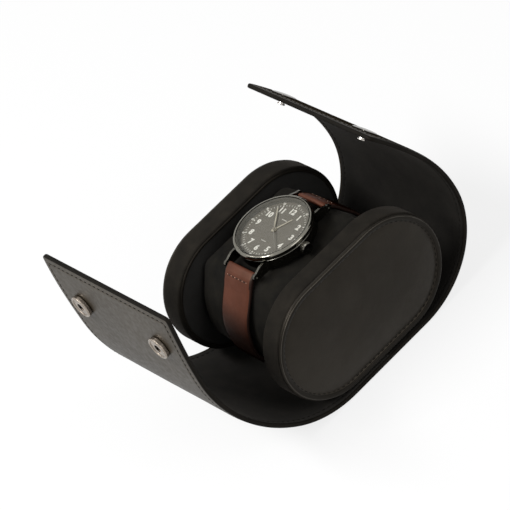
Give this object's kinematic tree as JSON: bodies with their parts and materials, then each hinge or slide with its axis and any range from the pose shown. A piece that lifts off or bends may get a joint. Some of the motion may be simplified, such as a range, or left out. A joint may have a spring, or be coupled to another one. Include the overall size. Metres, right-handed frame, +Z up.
{
  "type": "watch travel case",
  "caption": "Lined leather wrap on a flat base with stadium-shaped end caps; its two flaps curl over them and snap together around a pillow that holds a wristwatch.",
  "frame": {"origin": "centre of the wrap's flat base, on its outer leather face, which the case stands on", "axes": "+X runs from the left end cap to the right one, beside the crown; +Y runs from the front flap to the rear flap; +Z is up"},
  "size_m": [0.0896, 0.1601, 0.1128],
  "materials": {
    "outer_leather": "smooth black leather with a fine grain, satin",
    "cap_leather": "smooth black leather, slightly padded",
    "suede": "near-black suede",
    "band_suede": "dark brown-black suede band",
    "facing_leather": "dark brown smooth leather facing",
    "welt_leather": "folded black leather welt",
    "cap_board": "stiff leather board inside each cap",
    "nickel": "nickel-plated snap parts",
    "spring_wire": "snap spring wire",
    "foam": "soft foam filling",
    "pillow_suede": "near-black suede pillow cover",
    "case_metal": "dark gunmetal",
    "bezel_metal": "polished gunmetal bezel",
    "crystal": "clear crystal",
    "dial": "dark grey-olive dial",
    "movement_metal": "plated movement",
    "hand_paint": "cream painted hands",
    "seconds_paint": "grey seconds hand",
    "steel": "stem and spring bars",
    "strap_leather": "reddish brown leather",
    "buckle_metal": "brushed dark steel"
  },
  "bodies": {
    "base": {"base_leather": "outer_leather", "base_lining": "suede", "right_cap_core": "cap_board", "right_cap_band": "band_suede", "right_cap_panel": "cap_leather", "right_cap_welt": "welt_leather", "right_cap_inner_panel": "suede", "right_cap_inner_welt": "welt_leather", "left_cap_core": "cap_board", "left_cap_band": "band_suede", "left_cap_panel": "cap_leather", "left_cap_welt": "welt_leather", "left_cap_inner_panel": "suede", "left_cap_inner_welt": "welt_leather"},
    "front_1": {"front_leather_1": "outer_leather", "front_lining_1": "suede"},
    "front_2": {"front_leather_2": "outer_leather", "front_lining_2": "suede"},
    "front_3": {"front_leather_3": "outer_leather", "front_lining_3": "suede"},
    "front_4": {"front_leather_4": "outer_leather", "front_lining_4": "suede", "snap_sockets": "nickel", "snap_springs": "spring_wire", "snap_posts": "nickel"},
    "rear_1": {"rear_leather_1": "outer_leather", "rear_lining_1": "suede"},
    "rear_2": {"rear_leather_2": "outer_leather", "rear_lining_2": "suede"},
    "rear_3": {"rear_leather_3": "outer_leather", "rear_lining_3": "suede", "rear_facing": "facing_leather", "snap_studs": "nickel", "snap_caps": "nickel"},
    "pillow": {"pillow_foam": "foam", "pillow_cover": "pillow_suede", "watch_case": "case_metal", "watch_back": "steel", "watch_bezel": "bezel_metal", "watch_crystal": "crystal", "watch_dial": "dial", "watch_movement": "movement_metal", "spring_bars": "steel", "strap_long": "strap_leather", "strap_short": "strap_leather", "strap_keeper_fixed": "strap_leather", "strap_keeper_loose": "strap_leather", "buckle_frame": "buckle_metal", "buckle_tongue": "buckle_metal"},
    "hour_hand": {"hour_hand": "hand_paint"},
    "minute_hand": {"minute_hand": "hand_paint"},
    "seconds_hand": {"seconds_hand": "seconds_paint"},
    "stem": {"watch_stem": "steel"},
    "crown": {"watch_crown": "case_metal"}
  },
  "joints": [
    {"name": "front_fold_1", "type": "hinge", "parent": "base", "child": "front_1", "pos_m": [0, -0.024, 0.0026], "axis": [-1, 0, 0], "range_deg": [0, 11.1]},
    {"name": "front_fold_2", "type": "hinge", "parent": "front_1", "child": "front_2", "pos_m": [0, -0.0558, 0.01358], "axis": [-1, 0, 0], "range_deg": [0, 39.13]},
    {"name": "front_fold_3", "type": "hinge", "parent": "front_2", "child": "front_3", "pos_m": [0, -0.07723, 0.04057], "axis": [-1, 0, 0], "range_deg": [0, 19.67]},
    {"name": "front_fold_4", "type": "hinge", "parent": "front_3", "child": "front_4", "pos_m": [0, -0.08444, 0.07047], "axis": [-1, 0, 0], "range_deg": [0, 19]},
    {"name": "rear_fold_1", "type": "hinge", "parent": "base", "child": "rear_1", "pos_m": [0, 0.024, 0.0026], "axis": [1, 0, 0], "range_deg": [0, 12.61]},
    {"name": "rear_fold_2", "type": "hinge", "parent": "rear_1", "child": "rear_2", "pos_m": [0, 0.05348, 0.01359], "axis": [1, 0, 0], "range_deg": [0, 20.82]},
    {"name": "rear_fold_3", "type": "hinge", "parent": "rear_2", "child": "rear_3", "pos_m": [0, 0.06023, 0.0747], "axis": [1, 0, 0], "range_deg": [0, 22.3]},
    {"name": "pillow_lift", "type": "slide", "parent": "base", "child": "pillow", "axis": [0, 0, -1], "range_m": [-0.058, 0]},
    {"name": "hour_spin", "type": "hinge", "parent": "pillow", "child": "hour_hand", "pos_m": [0, 0, 0.066], "axis": [0, 0, -1], "continuous": true},
    {"name": "minute_spin", "type": "hinge", "parent": "pillow", "child": "minute_hand", "pos_m": [0, 0, 0.066], "axis": [0, 0, -1], "continuous": true},
    {"name": "seconds_spin", "type": "hinge", "parent": "pillow", "child": "seconds_hand", "pos_m": [0, 0, 0.066], "axis": [0, 0, -1], "continuous": true},
    {"name": "stem_pull", "type": "slide", "parent": "pillow", "child": "stem", "axis": [1, 0, 0], "range_m": [0, 0.0008]},
    {"name": "crown_spin", "type": "hinge", "parent": "stem", "child": "crown", "pos_m": [0.0215, 0, 0.0645], "axis": [1, 0, 0], "continuous": true}
  ],
  "couplings": [
    {"joint": "front_fold_1", "follows": "front_fold_2", "ratio": 0.28377},
    {"joint": "front_fold_3", "follows": "front_fold_2", "ratio": 0.50263},
    {"joint": "front_fold_4", "follows": "front_fold_2", "ratio": 0.48553},
    {"joint": "rear_fold_1", "follows": "rear_fold_3", "ratio": 0.56557},
    {"joint": "rear_fold_2", "follows": "rear_fold_3", "ratio": 0.93352},
    {"joint": "hour_spin", "follows": "minute_spin", "ratio": 0.083333}
  ]
}
